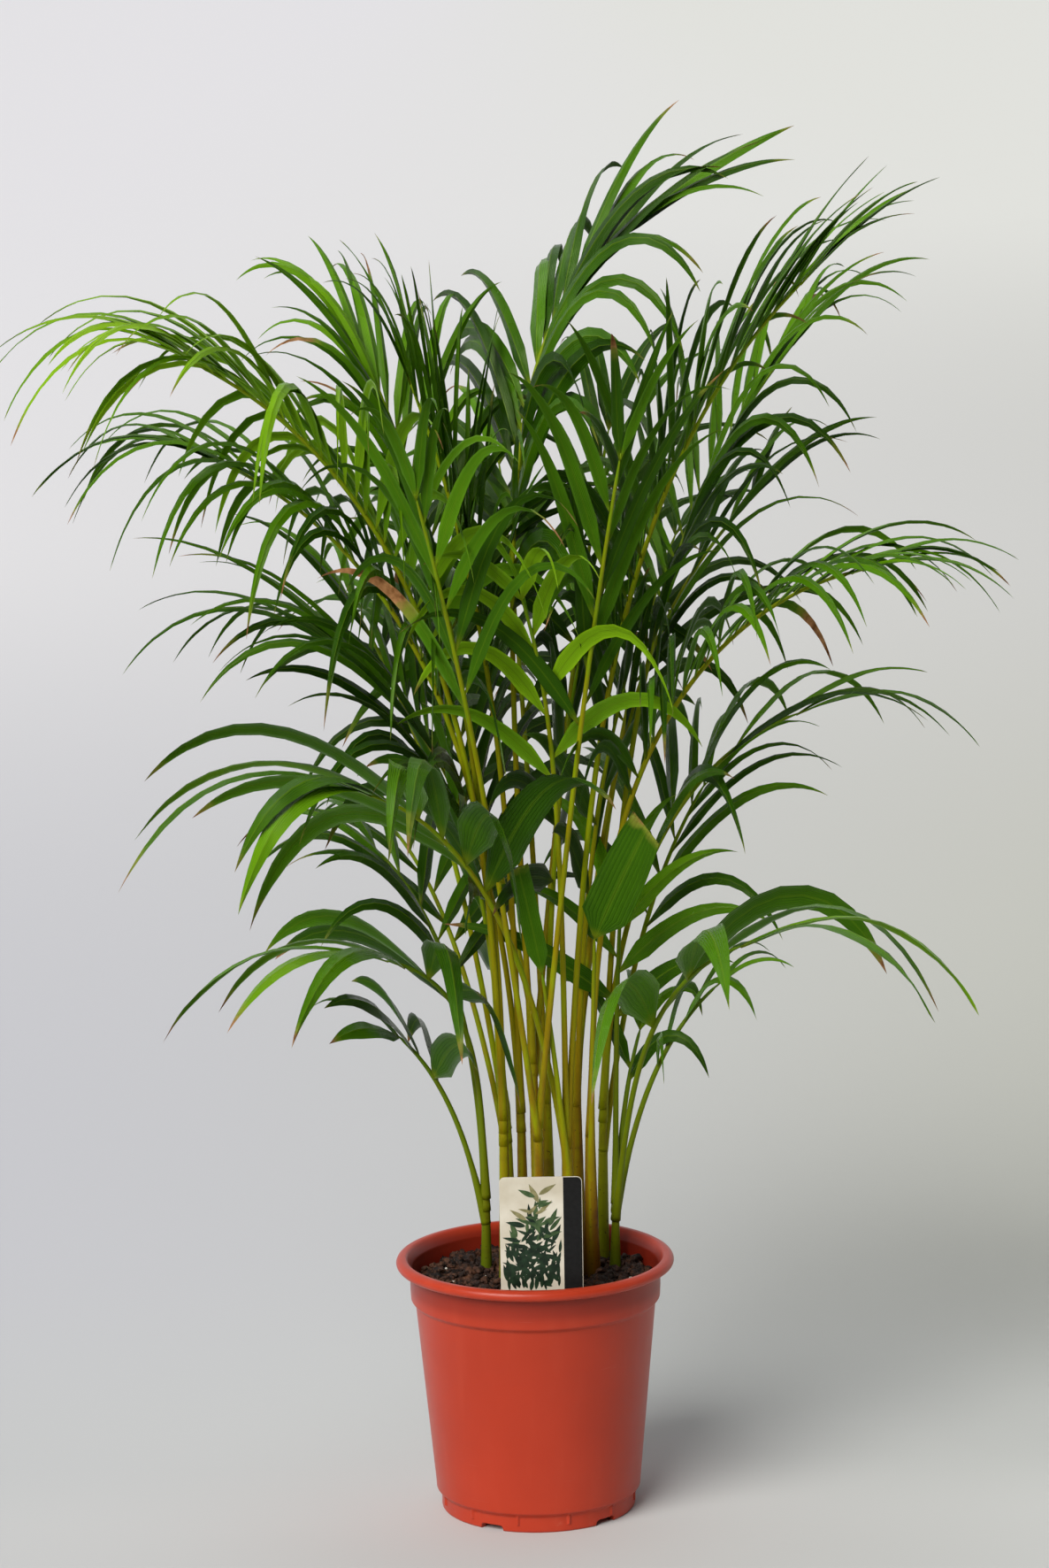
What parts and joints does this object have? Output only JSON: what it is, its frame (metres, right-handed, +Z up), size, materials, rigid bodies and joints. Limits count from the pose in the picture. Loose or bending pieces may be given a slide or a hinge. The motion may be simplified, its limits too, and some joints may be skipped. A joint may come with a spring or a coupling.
{
  "type": "potted palm",
  "caption": "Clump of young feather palms with arching fronds, standing in soil in a round tapered plastic nursery pot, with a blank-worded picture label behind the front rim.",
  "frame": {"origin": "on the pot's axis, at the surface that the pot stands on", "axes": "+Z up along the pot's axis, -Y towards the front of the pot where the label stands, +X to the right in the front view"},
  "size_m": [0.728, 0.6956, 1.0501],
  "materials": {
    "pot_plastic": "satin moulded terracotta-coloured plastic",
    "soil": "coarse dark potting soil with fibres and white specks",
    "label_card": "smooth printed plastic card, cream and green with a black band",
    "foliage": "waxy leaves from dark green to lime, yellow-green stalks and canes"
  },
  "bodies": {
    "root": {"pot": "pot_plastic", "soil": "soil", "label": "label_card", "palm_low_left": "foliage", "palm_upper_left": "foliage", "palm_middle_left": "foliage", "palm_tall": "foliage", "palm_forked": "foliage", "palm_right": "foliage", "palm_low_right": "foliage", "palm_middle_right": "foliage", "palm_back_right": "foliage", "palm_back": "foliage", "palm_back_left": "foliage", "palm_front": "foliage"}
  },
  "joints": []
}
